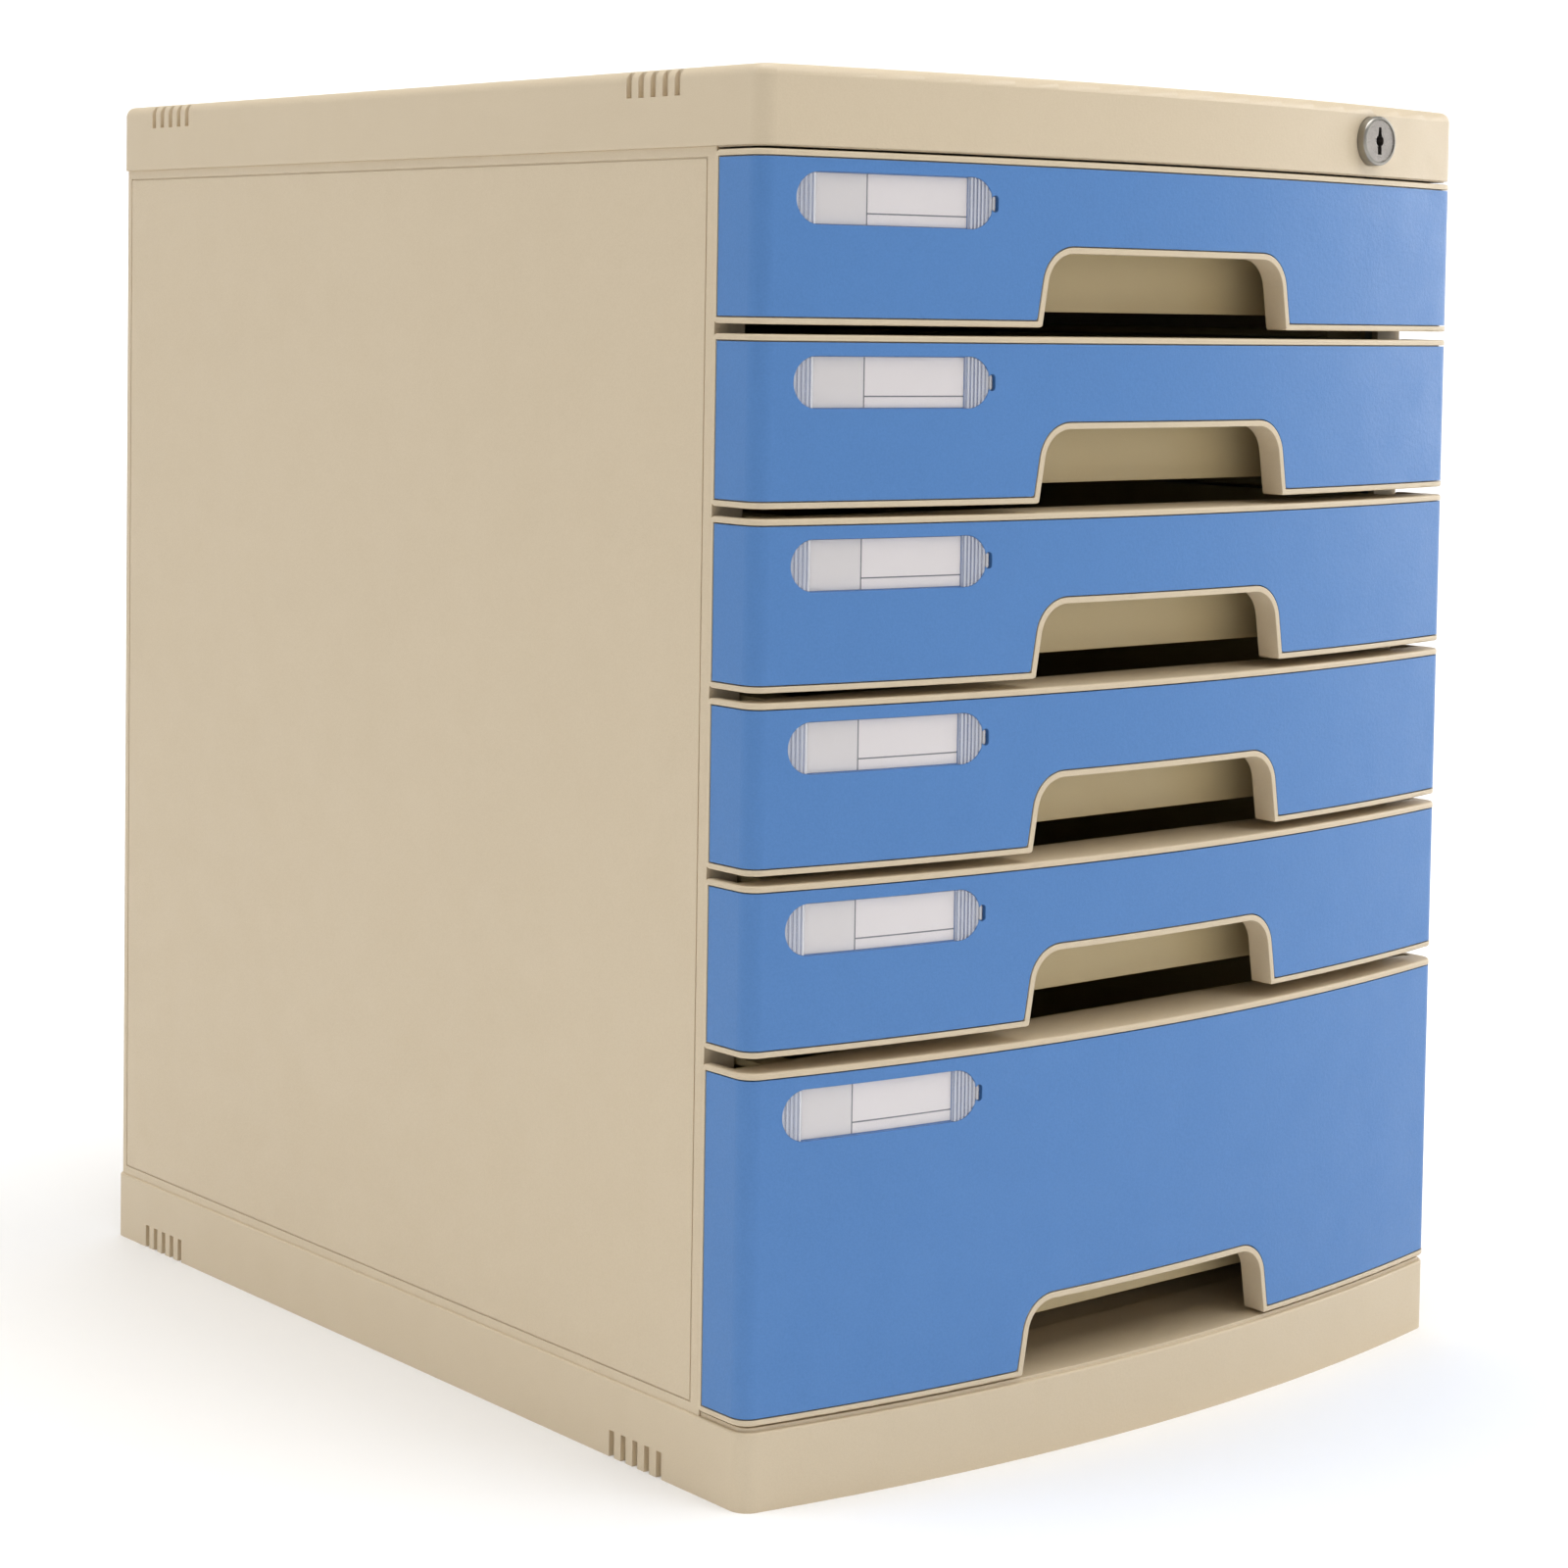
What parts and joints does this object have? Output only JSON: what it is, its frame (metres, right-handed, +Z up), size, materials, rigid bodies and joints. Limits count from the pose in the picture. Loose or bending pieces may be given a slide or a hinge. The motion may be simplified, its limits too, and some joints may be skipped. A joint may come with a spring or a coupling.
{
  "type": "desktop filing drawer cabinet",
  "caption": "Desktop plastic filing cabinet with shallow drawers over one deep drawer, bowed fronts with finger openings and label windows, and a cam lock that bars the drawers.",
  "frame": {"origin": "middle of the footprint, on the surface that the cabinet stands on", "axes": "+Z up, drawers face and open towards -Y, +X to the right of a person facing the drawers"},
  "size_m": [0.3006, 0.38, 0.412],
  "materials": {
    "beige_plastic": "fine grained moulded plastic",
    "blue_plastic": "fine leather-grained plastic",
    "clear_plastic": "clear moulded plastic",
    "label_card": "white card with thin printed rules",
    "nickel": "satin nickel plate",
    "screw_steel": "zinc-plated steel"
  },
  "bodies": {
    "cabinet": {"top_cover": "beige_plastic", "base": "beige_plastic", "base_stiffeners": "beige_plastic", "left_side_panel": "beige_plastic", "right_side_panel": "beige_plastic", "left_runners": "beige_plastic", "right_runners": "beige_plastic", "back_panel": "beige_plastic", "cover_screws": "screw_steel", "base_screws": "screw_steel", "lock_barrel": "nickel", "lock_nut": "nickel", "lock_bar_guides": "beige_plastic"},
    "lock_plug": {"lock_plug": "nickel", "lock_cam": "screw_steel", "lock_cam_screw": "screw_steel"},
    "lock_bar": {"lock_bar": "screw_steel"},
    "drawer_1": {"drawer_1_tray": "beige_plastic", "drawer_1_front": "beige_plastic", "drawer_1_face": "blue_plastic", "drawer_1_label_window": "clear_plastic", "drawer_1_label_card": "label_card"},
    "drawer_2": {"drawer_2_tray": "beige_plastic", "drawer_2_front": "beige_plastic", "drawer_2_face": "blue_plastic", "drawer_2_label_window": "clear_plastic", "drawer_2_label_card": "label_card"},
    "drawer_3": {"drawer_3_tray": "beige_plastic", "drawer_3_front": "beige_plastic", "drawer_3_face": "blue_plastic", "drawer_3_label_window": "clear_plastic", "drawer_3_label_card": "label_card"},
    "drawer_4": {"drawer_4_tray": "beige_plastic", "drawer_4_front": "beige_plastic", "drawer_4_face": "blue_plastic", "drawer_4_label_window": "clear_plastic", "drawer_4_label_card": "label_card"},
    "drawer_5": {"drawer_5_tray": "beige_plastic", "drawer_5_front": "beige_plastic", "drawer_5_face": "blue_plastic", "drawer_5_label_window": "clear_plastic", "drawer_5_label_card": "label_card"},
    "drawer_6": {"drawer_6_tray": "beige_plastic", "drawer_6_front": "beige_plastic", "drawer_6_face": "blue_plastic", "drawer_6_label_window": "clear_plastic", "drawer_6_label_card": "label_card"}
  },
  "joints": [
    {"name": "drawer_1_slide", "type": "slide", "parent": "cabinet", "child": "drawer_1", "axis": [0, -1, 0], "range_m": [0, 0.28]},
    {"name": "drawer_2_slide", "type": "slide", "parent": "cabinet", "child": "drawer_2", "axis": [0, -1, 0], "range_m": [0, 0.28]},
    {"name": "drawer_3_slide", "type": "slide", "parent": "cabinet", "child": "drawer_3", "axis": [0, -1, 0], "range_m": [0, 0.28]},
    {"name": "drawer_4_slide", "type": "slide", "parent": "cabinet", "child": "drawer_4", "axis": [0, -1, 0], "range_m": [0, 0.28]},
    {"name": "drawer_5_slide", "type": "slide", "parent": "cabinet", "child": "drawer_5", "axis": [0, -1, 0], "range_m": [0, 0.28]},
    {"name": "drawer_6_slide", "type": "slide", "parent": "cabinet", "child": "drawer_6", "axis": [0, -1, 0], "range_m": [0, 0.28]},
    {"name": "lock_turn", "type": "hinge", "parent": "cabinet", "child": "lock_plug", "pos_m": [0.097, -0.1832, 0.4002], "axis": [0, 1, 0], "range_deg": [0, 90]},
    {"name": "lock_bar_lift", "type": "slide", "parent": "cabinet", "child": "lock_bar", "axis": [0, 0, 1], "range_m": [0, 0.008]}
  ],
  "couplings": [
    {"joint": "lock_turn", "follows": "lock_bar_lift", "rad_per_m": 196.35}
  ]
}
